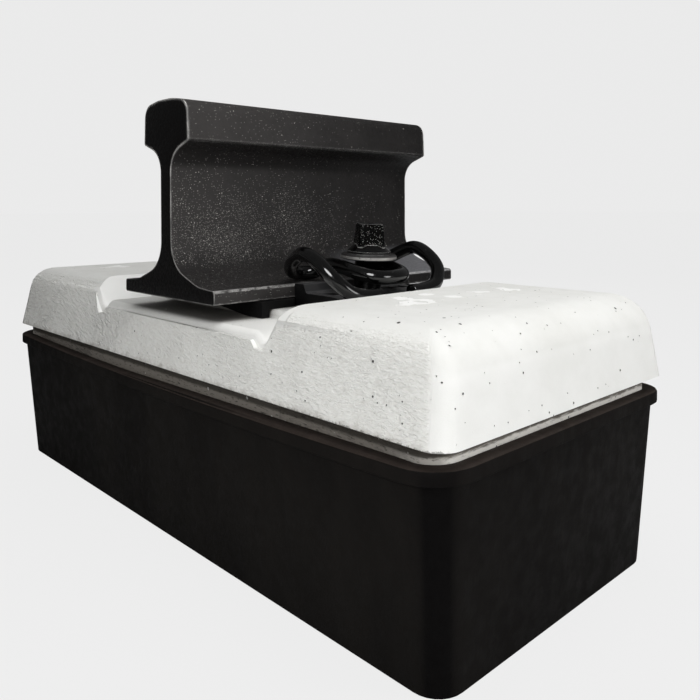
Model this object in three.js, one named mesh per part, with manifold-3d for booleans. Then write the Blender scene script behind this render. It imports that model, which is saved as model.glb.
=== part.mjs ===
// Booted concrete sleeper block of a ballastless track: a half sleeper in its rubber boot,
// with a short length of rail held down by two screwed tension clamps.
// Millimetres. X runs along the block, Y along the rail, Z up.
// The origin is the middle of the boot's underside.

import * as THREE from 'three';
import { mergeVertices } from 'three/addons/utils/BufferGeometryUtils.js';
import Module from 'manifold-3d';

// ---------- driving dimensions ----------

// gap left between pieces that rest on each other
const contactGap = 0.3;

// rubber boot
const bootBottomLength = 633.5;
const bootBottomWidth = 267;
const bootTopLength = 650;
const bootTopWidth = 288.4;
const bootWall = 6.6;
const bootFloor = 8;
const bootHeight = 141.5;
const bootBottomCorner = 21;
const bootTopCorner = 26;
const bootFootRound = 1;
const rimHeight = 9.6;
const rimOverhang = 4.7;
const rimRound = 1.6;
const rimSag = 5.5;

// resilient pad between the block and the boot's floor
const blockPadThickness = 12;
const blockPadInset = 6;

// concrete block
const neckHeight = 8.3;
const lipOverhangEnd = 9.8;
const lipOverhangSide = 7.7;
const lipThickness = 2.4;
const shoulderHeight = 66.6;
const sideBatter = 0.2;
const endBatter = 0.1;
const sideTopRound = 24;
const endTopRound = 35;
const lipCorner = 16;
const cornerTightening = 0.6;
const undersideRound = 8;

// rail seat: a trough across the block, with a groove along each shoulder and a raised bed
const railOffset = 15.8;
const seatDepth = 13.8;
const bedRise = 7;
const bedHalfLength = 85;
const bedStep = 3.6;
const seatHalfWidth = 121.5;
const grooveHalfSpacing = 133;
const grooveDepth = 14;
const shoulderFaceRun = 20.5;
const grooveRound = 3;
const troughRound = 6.5;

// rail
const railLength = 298.9;
const railNearEnd = -138.8;
const railHeight = 172;
const railFootWidth = 150;
const railHeadWidth = 74.3;
const railWebWidth = 16.5;
const railToeHeight = 11.5;
const railHeadSide = 37.5;
const railCrownCorner = 13;

// rail pad
const railPadThickness = 6.5;
const railPadLength = 192;
const railPadEarReach = 7;
const railPadEarLength = 36;
const railPadCorner = 2.5;
const railPadLipArch = 4;
const padGrooveDepth = 1.5;
const padGrooveCount = 9;

// angled guide plate
const plateLength = 114;
const plateToeGap = 0.8;
const plateRibWidth = 12;
const plateRibAboveToe = 0.6;
const plateRibClearance = 2.6;
const plateRidgeHeight = 11.5;
const plateHeelHeight = 5;
const plateHoleClearance = 1.5;
const platePocketDepth = 5;

// tension clamp, bent from round bar
const clampBar = 12.6;
const loopHalfGap = 18;
const loopReach = 31.5;
const loopDrop = 8.4;
const clampPeakHeight = 40.5;
const clampHalfSpan = 69;
const clampToeInset = 15;
const clampHeelInset = 4;
const clampRise = 15;
const leftClampShift = 5;

// sleeper screw, washer and dowel
const screwOffset = 107;
const screwShank = 24;
const screwLength = 150;
const screwHeadHeight = 18.3;
const screwHeadTop = 21.3;
const screwHeadBottom = 24.5;
const screwHeadCorner = 3;
const screwHeadTurn = 14;
const screwCollarHeight = 8.2;
const screwCollarTop = 29;
const screwCollarBottom = 39;
const screwLean = 3.5;
const washerDiameter = 50;
const washerThickness = 4.4;
const washerHole = 26;
const washerSink = 0.2;
const dowelDiameter = 33;
const dowelWall = 4;
const dowelRecess = 8;
const dowelLength = 118;
const dowelCollar = 4;

// smoothness
const cornerSteps = 7;
const arcSteps = 5;
const shoulderSteps = 8;
const roundSides = 28;
const barSides = 8;
const barSteps = 86;
const rimSteps = 10;

// ---------- places worked out from them ----------

const blockBottom = bootFloor + blockPadThickness + 2 * contactGap;
const neckHalfLength = bootTopLength / 2 - bootWall - contactGap;
const neckHalfWidth = bootTopWidth / 2 - bootWall - contactGap;
const lipHeight = bootHeight + neckHeight + lipThickness;
const lipHalfLength = neckHalfLength + lipOverhangEnd;
const lipHalfWidth = neckHalfWidth + lipOverhangSide;
const blockTop = lipHeight + shoulderHeight;
const seatHeight = blockTop - seatDepth;
const footHeight = railPadThickness + 2 * contactGap;
const toeTop = footHeight + railToeHeight;
const shoulderTopRun = grooveHalfSpacing + shoulderFaceRun;
const footSlope = 1 / 14;
const clampLevel = toeTop + clampRise;
const washerBottom = clampLevel + clampBar / 2 - washerSink;

// ---------- solids ----------

const wasm = await Module();
wasm.setup();

function toSolid(geometry) {
  const bare = geometry.clone();
  bare.deleteAttribute('normal');
  bare.deleteAttribute('uv');
  const merged = mergeVertices(bare, 1e-4);
  const vertProperties = new Float32Array(merged.attributes.position.array);
  const triVerts = new Uint32Array(merged.index.array);
  return new wasm.Manifold(new wasm.Mesh({ numProp: 3, vertProperties, triVerts }));
}

function toGeometry(solid) {
  const mesh = solid.getMesh();
  const geometry = new THREE.BufferGeometry();
  geometry.setAttribute('position', new THREE.BufferAttribute(new Float32Array(mesh.vertProperties), 3));
  geometry.setIndex(new THREE.BufferAttribute(new Uint32Array(mesh.triVerts), 1));
  geometry.computeVertexNormals();
  return geometry;
}

// a closed skin over rings that all have the same number of points
function loft(rings) {
  const count = rings[0].length;
  const positions = rings.flat().flatMap((p) => [p.x, p.y, p.z]);
  const faces = [];
  for (let level = 0; level < rings.length - 1; level++) {
    for (let i = 0; i < count; i++) {
      const a = level * count + i;
      const b = level * count + ((i + 1) % count);
      faces.push(a, b, b + count, a, b + count, a + count);
    }
  }
  const last = (rings.length - 1) * count;
  const outline = rings[0].map((p) => new THREE.Vector2(p.u, p.v));
  const caps = THREE.ShapeUtils.triangulateShape(outline, []);
  for (const [a, b, c] of caps) {
    faces.push(a, c, b);
    faces.push(last + a, last + b, last + c);
  }
  const geometry = new THREE.BufferGeometry();
  geometry.setAttribute('position', new THREE.Float32BufferAttribute(positions, 3));
  geometry.setIndex(faces);
  return geometry;
}

// a level ring: a rectangle with rounded corners, counter-clockwise from above,
// its two long sides divided into steps
function roundedRing(halfLength, halfWidth, corner, z, sideSteps = 1) {
  const ring = [];
  for (let quarter = 0; quarter < 4; quarter++) {
    const signX = quarter === 0 || quarter === 3 ? 1 : -1;
    const signY = quarter < 2 ? 1 : -1;
    for (let i = 0; i <= cornerSteps; i++) {
      const angle = (quarter + i / cornerSteps) * Math.PI / 2;
      const x = signX * (halfLength - corner) + corner * Math.cos(angle);
      const y = signY * (halfWidth - corner) + corner * Math.sin(angle);
      ring.push({ x, y, z, u: x, v: y });
    }
    const startsLongSide = quarter % 2 === 0;
    for (let i = 1; startsLongSide && i < sideSteps; i++) {
      const x = signX * (halfLength - corner) * (1 - 2 * i / sideSteps);
      ring.push({ x, y: signY * halfWidth, z, u: x, v: signY * halfWidth });
    }
  }
  return ring;
}

// a closed outline through points [x, y, radius], each corner rounded by its radius
function roundedOutline(points) {
  const shape = new THREE.Shape();
  const count = points.length;
  points.forEach(([x, y, radius], i) => {
    const corner = new THREE.Vector2(x, y);
    const before = new THREE.Vector2(...points[(i + count - 1) % count]).sub(corner).normalize();
    const after = new THREE.Vector2(...points[(i + 1) % count]).sub(corner).normalize();
    const half = Math.acos(THREE.MathUtils.clamp(before.dot(after), -1, 1)) / 2;
    const straight = !radius || Math.abs(half - Math.PI / 2) < 1e-4;
    const reach = straight ? 0 : radius / Math.tan(half);
    const start = corner.clone().addScaledVector(before, reach);
    const end = corner.clone().addScaledVector(after, reach);
    if (i === 0) {
      shape.moveTo(start.x, start.y);
    } else {
      shape.lineTo(start.x, start.y);
    }
    if (straight) {
      return;
    }
    const centre = before.clone().add(after).normalize().multiplyScalar(radius / Math.sin(half)).add(corner);
    const from = Math.atan2(start.y - centre.y, start.x - centre.x);
    const to = Math.atan2(end.y - centre.y, end.x - centre.x);
    const clockwise = before.cross(after) > 0;
    shape.absarc(centre.x, centre.y, radius, from, to, clockwise);
  });
  shape.closePath();
  return shape;
}

// a profile drawn in X and Z, swept along Y between two stations
function sweptAlongRail(shape, nearEnd, farEnd, segments = arcSteps) {
  const geometry = new THREE.ExtrudeGeometry(shape, {
    depth: farEnd - nearEnd,
    bevelEnabled: false,
    curveSegments: segments,
  });
  geometry.rotateX(Math.PI / 2);
  geometry.translate(0, farEnd, 0);
  return geometry;
}

// a plan outline raised to a plate
function raisedPlate(shape, bottom, thickness) {
  const geometry = new THREE.ExtrudeGeometry(shape, {
    depth: thickness,
    bevelEnabled: false,
    curveSegments: arcSteps,
  });
  geometry.translate(0, 0, bottom);
  return geometry;
}

// a turned solid about the vertical line at x = offset
function turned(profile, offset) {
  const points = profile.map(([radius, z]) => new THREE.Vector2(radius, z));
  const geometry = new THREE.LatheGeometry(points, roundSides);
  geometry.rotateX(Math.PI / 2);
  geometry.translate(offset, 0, 0);
  return geometry;
}

// ---------- boot, pad and block ----------

// half sizes of the boot's outside at a height
function bootOutside(z) {
  const share = z / (bootHeight - rimHeight);
  return {
    halfLength: THREE.MathUtils.lerp(bootBottomLength, bootTopLength, share) / 2,
    halfWidth: THREE.MathUtils.lerp(bootBottomWidth, bootTopWidth, share) / 2,
    corner: THREE.MathUtils.lerp(bootBottomCorner, bootTopCorner, share),
  };
}

function bootRing(z, inset, sideSteps = 1) {
  const { halfLength, halfWidth, corner } = bootOutside(z);
  return roundedRing(halfLength - inset, halfWidth - inset, Math.max(corner - inset, 3), z, sideSteps);
}

// the rubber hangs lower between the corners of its long sides
function sagging(ring) {
  return ring.map((point) => {
    const share = Math.min(Math.abs(point.x) / (bootTopLength / 2), 1);
    return { ...point, z: point.z - rimSag * (1 - share * share) };
  });
}

// rings that round a bottom edge off, from the underside up
function roundedFoot(bottom, radius, ringAt) {
  const rings = [];
  for (let i = 0; i <= 3; i++) {
    const angle = i / 3 * Math.PI / 2;
    rings.push(ringAt(bottom + radius * (1 - Math.cos(angle)), radius * (1 - Math.sin(angle))));
  }
  return rings;
}

function makeBoot() {
  const wallTop = bootHeight - rimHeight;
  const rimRing = (z, inset) => sagging(roundedRing(
    bootTopLength / 2 + rimOverhang - inset,
    bootTopWidth / 2 + rimOverhang - inset,
    bootTopCorner + rimOverhang - inset,
    z,
    rimSteps,
  ));
  const outside = [
    ...roundedFoot(0, bootFootRound, (z, inset) => bootRing(z, inset, rimSteps)),
    sagging(bootRing(wallTop - 0.01, 0, rimSteps)),
    rimRing(wallTop, 0.6),
    rimRing(wallTop + 0.6, 0),
    rimRing(bootHeight - rimRound, 0),
    rimRing(bootHeight - rimRound * 0.3, rimRound * 0.3),
    rimRing(bootHeight, rimRound),
  ];
  const inside = [
    bootRing(bootFloor, bootWall),
    bootRing(wallTop, bootWall),
    roundedRing(neckHalfLength + contactGap, neckHalfWidth + contactGap, bootTopCorner - bootWall, bootHeight + 1),
  ];
  return toGeometry(toSolid(loft(outside)).subtract(toSolid(loft(inside))));
}

function makeBlockPad() {
  const bottom = bootFloor + contactGap;
  const { halfLength, halfWidth, corner } = bootOutside(bottom);
  const inset = bootWall + blockPadInset;
  const ring = (z) => roundedRing(halfLength - inset, halfWidth - inset, corner - blockPadInset, z);
  return loft([ring(bottom), ring(bottom + blockPadThickness)]);
}

// how far a leaning face with a rounded top edge has drawn in at a height above the lip
function drawnIn(height, batter, radius) {
  const lean = Math.atan(batter);
  const centre = shoulderHeight - radius;
  if (height <= centre + radius * Math.sin(lean)) {
    return batter * height;
  }
  const rise = Math.min((height - centre) / radius, 1);
  return batter * centre + radius / Math.cos(lean) - radius * Math.sqrt(1 - rise * rise);
}

// the block's outline above the lip: leaning faces, then the rounded top edges
function shoulderRings() {
  const roundStart = shoulderHeight - endTopRound;
  const heights = [0];
  for (let i = 0; i <= shoulderSteps; i++) {
    heights.push(roundStart + endTopRound * Math.sin(i / shoulderSteps * Math.PI / 2));
  }
  return heights.map((height) => {
    const endInset = drawnIn(height, endBatter, endTopRound);
    const sideInset = drawnIn(height, sideBatter, sideTopRound);
    const past = Math.max(endInset - endBatter * roundStart, 0);
    const corner = Math.max(lipCorner - cornerTightening * past, 3);
    return roundedRing(lipHalfLength - endInset, lipHalfWidth - sideInset, corner, lipHeight + height);
  });
}

// the trough's floor and shoulder faces, left to right, with the floor raised by an amount
function troughLine(rise) {
  const above = 20;
  const faceSlope = shoulderFaceRun / (seatDepth + grooveDepth);
  const rightHalf = [
    [seatHalfWidth - 0.6 * rise, rise - bedRise],
    [grooveHalfSpacing - grooveRound * 0.8, -grooveDepth + grooveRound * 0.35],
    [grooveHalfSpacing + grooveRound * 0.2, -grooveDepth],
    [grooveHalfSpacing + grooveRound * 0.9, -grooveDepth + grooveRound],
    [shoulderTopRun - faceSlope * 3, seatDepth - 3],
    [shoulderTopRun + 2, seatDepth + 0.5],
    [shoulderTopRun + 6, seatDepth + 3],
    [shoulderTopRun + 6, seatDepth + above],
  ];
  const leftHalf = rightHalf.map(([x, z]) => [-x, z]).reverse();
  return [...leftHalf, ...rightHalf];
}

// the same line pushed into the concrete by an amount, which widens the trough
function widened(line, amount) {
  return line.map(([x, z], i) => {
    const previous = line[Math.max(i - 1, 0)];
    const next = line[Math.min(i + 1, line.length - 1)];
    const along = new THREE.Vector2(next[0] - previous[0], next[1] - previous[1]).normalize();
    return [x + along.y * amount, z - along.x * amount];
  });
}

// the trough runs right across the block: a raised bed in its middle, and flared, rounded ends
function makeTroughCutter() {
  const seatFace = lipHalfWidth - sideBatter * (seatHeight - lipHeight);
  const half = [];
  for (let i = 0; i <= arcSteps; i++) {
    const share = i / arcSteps;
    const rise = bedRise * (1 + Math.cos(share * Math.PI)) / 2;
    half.push({ y: bedHalfLength + share * bedStep, wide: 0, rise });
  }
  for (let i = 0; i <= arcSteps; i++) {
    const angle = i / arcSteps * Math.PI / 2;
    const y = seatFace - troughRound * (1 - Math.sin(angle));
    half.push({ y, wide: troughRound * (1 - Math.cos(angle)), rise: 0 });
  }
  half.push({ y: lipHalfWidth + 5, wide: troughRound * 1.2, rise: 0 });
  const whole = [...half.map((station) => ({ ...station, y: -station.y })).reverse(), ...half];
  const rings = whole.map(({ y, wide, rise }) => widened(troughLine(rise), wide).map(([x, z]) => (
    { x: x + railOffset, y, z: z + seatHeight, u: z, v: x }
  )).reverse());
  return loft(rings);
}

function makeBlock() {
  const blockRing = (z, inset) => bootRing(z, bootWall + contactGap + inset);
  const neckCorner = bootTopCorner - bootWall - contactGap;
  const neckTop = lipHeight - lipThickness;
  const rings = [
    ...roundedFoot(blockBottom, undersideRound, blockRing),
    blockRing(bootHeight - rimHeight, 0),
    roundedRing(neckHalfLength, neckHalfWidth, neckCorner, neckTop - 1.5),
    roundedRing(neckHalfLength + 1.5, neckHalfWidth + 1.5, neckCorner, neckTop),
    ...shoulderRings(),
  ];
  let block = toSolid(loft(rings)).subtract(toSolid(makeTroughCutter()));
  for (const side of [-1, 1]) {
    const hole = leaned(turned(dowelProfile(contactGap, dowelRecess + 5), screwOffset));
    hole.rotateZ(side > 0 ? 0 : Math.PI);
    hole.translate(railOffset, 0, seatHeight);
    block = block.subtract(toSolid(hole));
  }
  return toGeometry(block);
}

// ---------- rail and rail pad, in the rail seat's frame ----------

function railProfile() {
  const toe = railFootWidth / 2;
  const web = railWebWidth / 2;
  const head = railHeadWidth / 2;
  const headSide = railHeight - railHeadSide;
  const steep = 1 / 2.75;
  const footBreak = toe * 0.668;
  const footBreakHeight = railToeHeight + (toe - footBreak) * footSlope;
  const rightHalf = [
    [toe, 0, 2],
    [toe, railToeHeight, 3],
    [footBreak, footBreakHeight, 40],
    [web, footBreakHeight + (footBreak - web) * steep, 30],
    [web, headSide - (head - web) * steep, 22],
    [head, headSide, 2.5],
    [head - 0.05 * (railHeadSide - 3.4), railHeight - 3.4, railCrownCorner],
    [head * 0.28, railHeight, 60],
  ];
  const leftHalf = rightHalf.map(([x, z, r]) => [-x, z, r]).reverse();
  return roundedOutline([...rightHalf, ...leftHalf]);
}

function makeRail() {
  const geometry = sweptAlongRail(railProfile(), railNearEnd, railNearEnd + railLength, 6);
  geometry.translate(0, 0, footHeight);
  return geometry;
}

function makeRailPad() {
  const halfWidth = railFootWidth / 2 - 0.8;
  const halfLength = railPadLength / 2;
  const ear = halfWidth + railPadEarReach;
  const earStart = halfLength - railPadEarLength;
  const quarter = [
    [halfWidth, earStart, 1.5],
    [ear, earStart, railPadCorner],
    [ear, halfLength, railPadCorner],
  ];
  const right = [...quarter.map(([x, y, r]) => [x, -y, r]).reverse(), ...quarter];
  const left = right.map(([x, y, r]) => [-x, -y, r]);
  let pad = toSolid(raisedPlate(roundedOutline([...right, ...left]), contactGap, railPadThickness));
  const lipBottom = contactGap - bedRise;
  const lipOutline = roundedOutline([
    [0, contactGap, 0],
    [ear * 0.3, lipBottom + railPadLipArch, 20],
    [ear * 0.75, lipBottom, 20],
    [ear, lipBottom, 1],
    [ear, railPadThickness, 1],
    [0, railPadThickness, 0],
  ]);
  const lipStart = bedHalfLength + bedStep + contactGap;
  for (const turn of [0, Math.PI]) {
    const lip = sweptAlongRail(lipOutline, -halfLength, -lipStart, 3);
    lip.rotateZ(turn);
    pad = pad.add(toSolid(lip));
  }
  const pitch = 2 * halfWidth / (padGrooveCount + 1);
  for (let i = 1; i <= padGrooveCount; i++) {
    const groove = new THREE.BoxGeometry(pitch * 0.45, railPadLength + 10, padGrooveDepth * 2);
    groove.translate(-halfWidth + i * pitch, 0, contactGap + railPadThickness);
    pad = pad.subtract(toSolid(groove));
  }
  return toGeometry(pad);
}

// ---------- one fastening, on the +X side of the rail, in the rail seat's frame ----------

// how high the guide plate lies against the shoulder's face at a place
function shoulderFace(z) {
  return grooveHalfSpacing + shoulderFaceRun * (z + grooveDepth) / (seatDepth + grooveDepth);
}

const heelX = shoulderFace(plateHeelHeight) - clampHeelInset;
const heelLevel = plateHeelHeight + clampBar / 2 + contactGap;

function plateProfile() {
  const toeSide = railFootWidth / 2 + plateToeGap;
  const ribTop = toeTop + plateRibAboveToe;
  const fieldHeight = plateHeelHeight + 1;
  const field = shoulderFace(fieldHeight) - contactGap * 1.5;
  const ribBottom = plateRibClearance - grooveDepth;
  return roundedOutline([
    [toeSide, contactGap, 0.8],
    [seatHalfWidth - 0.6 * bedRise + 0.4, contactGap, 1.5],
    [grooveHalfSpacing - 0.8, ribBottom, 2],
    [shoulderFace(ribBottom + 1.6) - contactGap * 1.6, ribBottom + 1.6, 1],
    [field, fieldHeight, 0.8],
    [heelX + 1.5, plateHeelHeight, 4],
    [heelX - 4.5, plateHeelHeight, 3],
    [heelX - 9, plateRidgeHeight - 1, 2],
    [screwOffset + 14, plateRidgeHeight, 4],
    [toeSide + plateRibWidth + 3, plateRidgeHeight, 3],
    [toeSide + plateRibWidth, ribTop, 1.2],
    [toeSide, ribTop, 1.2],
  ]);
}

function makeGuidePlate() {
  const half = plateLength / 2;
  let plate = toSolid(sweptAlongRail(plateProfile(), -half, half, 3));
  const hole = new THREE.CylinderGeometry(
    screwShank / 2 + plateHoleClearance,
    screwShank / 2 + plateHoleClearance,
    80,
    roundSides,
  );
  hole.rotateX(Math.PI / 2);
  hole.translate(screwOffset, 0, 0);
  plate = plate.subtract(toSolid(hole));
  const pocketWidth = 11;
  for (const side of [-1, 1]) {
    for (const step of [0, 1]) {
      const pocket = new THREE.BoxGeometry(14, pocketWidth, platePocketDepth * 2);
      pocket.translate(screwOffset + 2, side * (28 + step * (pocketWidth + 3)), plateRidgeHeight);
      plate = plate.subtract(toSolid(pocket));
    }
  }
  return toGeometry(plate);
}

// the clamp's bar from the closed end of its middle loop to the free heel, on the +Y side
function clampStations() {
  const toeContact = railFootWidth / 2 - clampToeInset;
  const footTop = toeTop + clampToeInset * footSlope;
  const contact = footTop + clampBar / 2 + contactGap;
  const leg = loopHalfGap + clampBar / 2;
  const peak = toeTop + clampPeakHeight - clampBar;
  const loopEnd = screwOffset + loopReach;
  return [
    [loopEnd, 0, clampLevel - loopDrop],
    [loopEnd - 4, leg * 0.7, clampLevel - loopDrop * 0.9],
    [loopEnd - 18.5, leg * 0.97, clampLevel - loopDrop * 0.52],
    [screwOffset - 6.5, leg, clampLevel - 0.6],
    [screwOffset - 25, leg + 0.5, clampLevel],
    [toeContact + 8, leg + 5, contact + 0.8],
    [toeContact + 1.5, leg + 15.5, contact + 0.2],
    [toeContact + 7, clampHalfSpan - 16, contact + 3.2],
    [toeContact + 21, clampHalfSpan - 5.5, peak - 8],
    [screwOffset - 5, clampHalfSpan, peak],
    [screwOffset + 11.5, clampHalfSpan - 0.4, peak - 5.3],
    [heelX - 9, clampHalfSpan - 3.5, heelLevel + 17],
    [heelX - 1.2, clampHalfSpan - 16.5, heelLevel + 4.3],
    [heelX, clampHalfSpan - 33, heelLevel + 0.6],
    [heelX, clampHalfSpan - 50, heelLevel + 0.2],
  ];
}

function makeClamp() {
  const half = clampStations().map(([x, y, z]) => new THREE.Vector3(x, y, z));
  const mirrored = half.slice(1).map((p) => new THREE.Vector3(p.x, -p.y, p.z)).reverse();
  const route = new THREE.CatmullRomCurve3([...mirrored, ...half], false, 'centripetal');
  const section = new THREE.Shape();
  section.absarc(0, 0, clampBar / 2, 0, Math.PI * 2, false);
  return new THREE.ExtrudeGeometry(section, {
    steps: barSteps,
    curveSegments: barSides,
    bevelEnabled: false,
    extrudePath: route,
  });
}

// tips a screw's pieces outwards about the point where the screw meets the seat
function leaned(geometry) {
  geometry.translate(-screwOffset, 0, 0);
  geometry.rotateY(THREE.MathUtils.degToRad(screwLean));
  geometry.translate(screwOffset, 0, 0);
  return geometry;
}

function makeWasher() {
  const outer = washerDiameter / 2;
  const inner = washerHole / 2;
  const top = washerBottom + washerThickness;
  return leaned(turned([
    [inner, washerBottom],
    [outer - 1, washerBottom],
    [outer, washerBottom + 1],
    [outer, top - 1.2],
    [outer - 1.2, top],
    [inner, top],
    [inner, washerBottom],
  ], screwOffset));
}

function makeScrew() {
  const collarBottom = washerBottom + washerThickness + contactGap;
  const collarTop = collarBottom + screwCollarHeight;
  const tip = collarBottom - screwLength;
  const shank = screwShank / 2;
  const body = turned([
    [0, tip],
    [shank - 5, tip],
    [shank, tip + 9],
    [shank, collarBottom],
    [screwCollarBottom / 2, collarBottom],
    [screwCollarBottom / 2, collarBottom + 2.4],
    [screwCollarTop / 2, collarTop - 1.5],
    [screwCollarTop / 2 - 1.5, collarTop],
    [0, collarTop],
  ], screwOffset);
  const headBottom = collarTop - 2;
  const headTop = collarTop + screwHeadHeight;
  const headRing = (z, flats, corner) => roundedRing(flats / 2, flats / 2, corner, z);
  const head = loft([
    headRing(headBottom, screwHeadBottom, screwHeadCorner),
    headRing(headTop - 1.5, screwHeadTop, screwHeadCorner),
    headRing(headTop, screwHeadTop - 2.4, screwHeadCorner - 1),
  ]);
  head.rotateZ(THREE.MathUtils.degToRad(screwHeadTurn - 45));
  head.translate(screwOffset, 0, 0);
  return leaned(toGeometry(toSolid(body).add(toSolid(head))));
}

// the dowel's outside, from its blind end to its collar, grown by a clearance
function dowelProfile(clearance, above) {
  const radius = dowelDiameter / 2 + clearance;
  const top = -dowelRecess;
  const bottom = top - dowelLength - clearance;
  return [
    [0, bottom],
    [radius - 4, bottom],
    [radius, bottom + 4],
    [radius, top - dowelCollar - 1.5 - clearance],
    [radius + 1.5, top - dowelCollar - clearance],
    [radius + 1.5, top + above],
    [0, top + above],
  ];
}

function makeDowel() {
  const outside = toSolid(turned(dowelProfile(0, 0), screwOffset));
  const bore = dowelDiameter / 2 - dowelWall;
  const boreBottom = -dowelRecess - dowelLength + dowelWall;
  const inside = toSolid(turned([
    [0, boreBottom],
    [bore, boreBottom],
    [bore, 10],
    [0, 10],
  ], screwOffset));
  return leaned(toGeometry(outside.subtract(inside)));
}

// ---------- assembly ----------

function finish(color, roughness, metalness = 0) {
  return new THREE.MeshStandardMaterial({ color, roughness, metalness });
}

const concrete = finish(0xd9d9d6, 0.85);
const bootRubber = finish(0x17130f, 0.75);
const padRubber = finish(0x121212, 0.8);
const railSteel = finish(0x1d1c1c, 0.45, 0.6);
const platePlastic = finish(0x161616, 0.5);
const clampPaint = finish(0x0b0b0b, 0.18, 0.3);
const screwPaint = finish(0x141414, 0.5, 0.4);
const washerSteel = finish(0x5a5652, 0.4, 0.7);
const dowelPlastic = finish(0x2a2a2a, 0.5);

function piece(name, geometry, material) {
  const mesh = new THREE.Mesh(geometry, material);
  mesh.name = name;
  return mesh;
}

const sleeper = new THREE.Group();
sleeper.add(piece('rubber_boot', makeBoot(), bootRubber));
sleeper.add(piece('block_pad', makeBlockPad(), padRubber));
sleeper.add(piece('concrete_block', makeBlock(), concrete));

const railSeat = new THREE.Group();
railSeat.position.set(railOffset, 0, seatHeight);
railSeat.add(piece('rail_pad', makeRailPad(), padRubber));
railSeat.add(piece('rail', makeRail(), railSteel));
sleeper.add(railSeat);

for (const [side, turn] of [['right', 0], ['left', Math.PI]]) {
  const fastening = new THREE.Group();
  fastening.rotation.z = turn;
  fastening.add(piece(`guide_plate_${side}`, makeGuidePlate(), platePlastic));
  const clamp = piece(`tension_clamp_${side}`, makeClamp(), clampPaint);
  clamp.position.y = turn ? -leftClampShift : 0;
  fastening.add(clamp);
  fastening.add(piece(`washer_${side}`, makeWasher(), washerSteel));
  fastening.add(piece(`sleeper_screw_${side}`, makeScrew(), screwPaint));
  fastening.add(piece(`screw_dowel_${side}`, makeDowel(), dowelPlastic));
  railSeat.add(fastening);
}

export default sleeper;
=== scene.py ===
# Booted concrete sleeper block with a short rail: finishes, finer bent bars, light and camera.

import bpy
import math
import numpy as np
from mathutils import Matrix, Vector


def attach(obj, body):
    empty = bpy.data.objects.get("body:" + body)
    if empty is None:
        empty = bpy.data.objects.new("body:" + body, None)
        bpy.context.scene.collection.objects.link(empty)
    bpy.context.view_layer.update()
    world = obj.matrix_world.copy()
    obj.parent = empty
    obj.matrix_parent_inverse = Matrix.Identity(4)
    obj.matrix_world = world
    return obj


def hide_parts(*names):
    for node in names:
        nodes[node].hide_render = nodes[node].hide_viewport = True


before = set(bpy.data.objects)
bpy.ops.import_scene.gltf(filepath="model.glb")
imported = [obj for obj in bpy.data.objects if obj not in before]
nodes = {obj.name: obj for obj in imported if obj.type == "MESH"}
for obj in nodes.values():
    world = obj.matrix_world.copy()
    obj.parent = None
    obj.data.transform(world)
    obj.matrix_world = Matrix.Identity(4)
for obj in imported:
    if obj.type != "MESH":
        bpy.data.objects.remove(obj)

for leftover in ("Cube", "Light", "Camera"):
    if leftover in bpy.data.objects:
        bpy.data.objects.remove(bpy.data.objects[leftover])
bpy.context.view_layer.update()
print("frame loaded:", len(nodes), "pieces")

# the middle of the rail seat, as the part has it; lengths are in metres unless a note says otherwise
seat = {"x": 0.0158, "z": 0.205}


# small helpers for nodes

def chartColour(red, green, blue):
    # a colour read off a paint chart (0 to 255) as linear light
    share = np.array([red, green, blue]) / 255
    linear = np.where(share <= 0.04045, share / 12.92, ((share + 0.055) / 1.055) ** 2.4)
    return (*linear.tolist(), 1.0)


def addNode(tree, kind, sockets=None, **settings):
    # a node with its settings; each of its sockets is linked or set
    node = tree.nodes.new(kind)
    for key, value in settings.items():
        setattr(node, key, value)
    for key, value in (sockets or {}).items():
        if isinstance(value, bpy.types.NodeSocket):
            tree.links.new(value, node.inputs[key])
        else:
            node.inputs[key].default_value = value
    return node


def calc(tree, operation, first, second=None, third=None, clamp=False):
    given = {i: v for i, v in enumerate((first, second, third)) if v is not None}
    return addNode(tree, "ShaderNodeMath", given, operation=operation, use_clamp=clamp).outputs[0]


def times(tree, product, *factors):
    for factor in factors:
        product = calc(tree, "MULTIPLY", product, factor)
    return product


def absolute(tree, value):
    return calc(tree, "ABSOLUTE", value)


def outside(tree, mask):
    # one minus a mask
    return calc(tree, "SUBTRACT", 1.0, mask)


def line(tree, value, slope, start):
    # start plus slope times the value
    return calc(tree, "MULTIPLY_ADD", value, slope, start)


def remap(tree, value, low, high, toLow=0.0, toHigh=1.0):
    # low..high eased onto toLow..toHigh, held at both ends
    sockets = {"Value": value, "From Min": low, "From Max": high, "To Min": toLow, "To Max": toHigh}
    return addNode(tree, "ShaderNodeMapRange", sockets, interpolation_type="SMOOTHSTEP").outputs[0]


def above(tree, value, level, band):
    # a mask from the first to the second of two heights over a level
    return remap(tree, value, level + band[0], level + band[1])


def mixColour(tree, share, first, second):
    # the node's colours are its sockets 6 and 7 and its output 2
    return addNode(tree, "ShaderNodeMix", {0: share, 6: first, 7: second}, data_type="RGBA").outputs[2]


def noise(tree, position, perMetre, detail=3.0, roughness=0.5, distortion=0.0):
    sockets = {"Vector": position, "Scale": perMetre, "Detail": detail, "Roughness": roughness,
               "Distortion": distortion}
    return addNode(tree, "ShaderNodeTexNoise", sockets).outputs["Fac"]


def stretch(tree, position, scale, turn=(0, 0, 0)):
    sockets = {"Vector": position, "Scale": scale, "Rotation": turn}
    return addNode(tree, "ShaderNodeMapping", sockets).outputs[0]


def bump(tree, height, distance, before=None):
    sockets = {"Height": height, "Distance": distance, "Strength": 1.0}
    if before is not None:
        sockets["Normal"] = before
    return addNode(tree, "ShaderNodeBump", sockets).outputs[0]


def splitVector(tree, vector):
    return addNode(tree, "ShaderNodeSeparateXYZ", {0: vector}).outputs


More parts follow.
